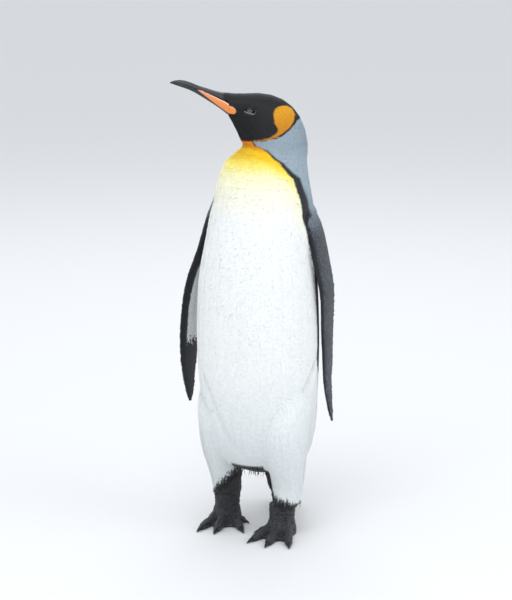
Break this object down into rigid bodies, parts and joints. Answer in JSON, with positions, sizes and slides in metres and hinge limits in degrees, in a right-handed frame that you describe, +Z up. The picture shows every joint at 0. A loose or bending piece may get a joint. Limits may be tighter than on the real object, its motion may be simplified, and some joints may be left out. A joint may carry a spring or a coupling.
{
  "type": "king penguin figure",
  "caption": "Life-size king penguin standing upright, head turned far to its right with the bill raised, flippers hanging at its sides; a still museum figure.",
  "frame": {"origin": "on the floor, under the middle of the figure's box", "axes": "+Z up; the bird faces -Y; its own left side is towards +X"},
  "size_m": [0.3134, 0.318, 0.8701],
  "materials": {
    "white_plumage": "dense white feathers with a soft satin lie",
    "grey_plumage": "blue-grey feathers, finely mottled",
    "black_plumage": "short velvety black feathers",
    "slate_plumage": "short stiff slate feathers",
    "horn": "smooth black horn with fine grooves",
    "foot_skin": "scaly, wrinkled black-grey skin",
    "claw_horn": "worn black horn",
    "eye_gloss": "wet brown eye"
  },
  "bodies": {
    "root": {"trunk": "white_plumage", "neck": "grey_plumage", "head": "black_plumage", "bill_upper": "horn", "bill_lower": "horn", "eye_left": "eye_gloss", "eye_right": "eye_gloss", "flipper_left": "slate_plumage", "flipper_right": "slate_plumage", "tail": "slate_plumage", "leg_left": "white_plumage", "leg_right": "white_plumage", "foot_left": "foot_skin", "foot_right": "foot_skin", "claw_left_outer": "claw_horn", "claw_left_middle": "claw_horn", "claw_left_inner": "claw_horn", "claw_left_hind": "claw_horn", "claw_right_outer": "claw_horn", "claw_right_middle": "claw_horn", "claw_right_inner": "claw_horn", "claw_right_hind": "claw_horn"}
  },
  "joints": []
}
